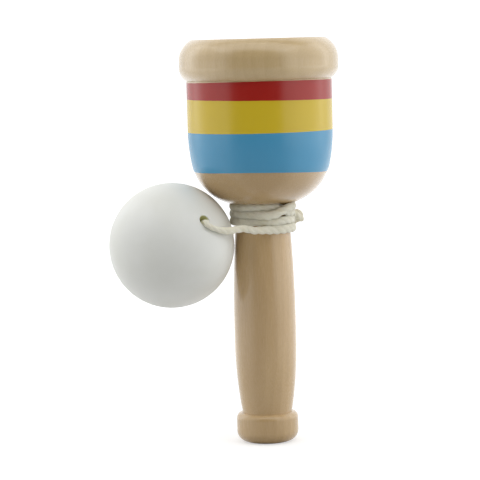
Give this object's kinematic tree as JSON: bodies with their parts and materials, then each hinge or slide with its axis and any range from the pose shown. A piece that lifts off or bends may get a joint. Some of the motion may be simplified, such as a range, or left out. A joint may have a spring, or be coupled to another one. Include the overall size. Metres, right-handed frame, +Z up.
{
  "type": "cup and ball toy",
  "caption": "Turned wooden cup on a handle, with painted bands and a white ball tied to its neck by a wound cotton cord, for swinging the ball up into the cup.",
  "frame": {"origin": "middle of the flat underside of the foot, on the handle's axis", "axes": "+Z up the handle's axis to the cup's mouth, -Y towards the viewer of the picture, -X to the side where the ball hangs"},
  "size_m": [0.0766, 0.0542, 0.1334],
  "materials": {
    "cup_wood": "satin varnish over painted bands",
    "handle_wood": "satin varnish",
    "ball_paint": "satin white paint",
    "cord_cotton": "soft twisted cotton"
  },
  "bodies": {
    "toy": {"cup": "cup_wood", "handle": "handle_wood"},
    "winding": {"cord_winding": "cord_cotton", "cord_knot": "cord_cotton"},
    "lead": {"cord_lead": "cord_cotton", "ball_knot": "cord_cotton"},
    "ball": {"ball": "ball_paint"}
  },
  "joints": [
    {"name": "winding_turn", "type": "hinge", "parent": "toy", "child": "winding", "pos_m": [0, 0, 0.075], "axis": [0, 0, 1], "continuous": true},
    {"name": "lead_swing", "type": "hinge", "parent": "winding", "child": "lead", "pos_m": [-0.00315, -0.01329, 0.07145], "axis": [0, 0, 1], "range_deg": [0, 80]},
    {"name": "ball_spin", "type": "hinge", "parent": "lead", "child": "ball", "pos_m": [-0.02995, -0.0075, 0.0668], "axis": [0.55, -0.704, 0.4493], "continuous": true}
  ]
}
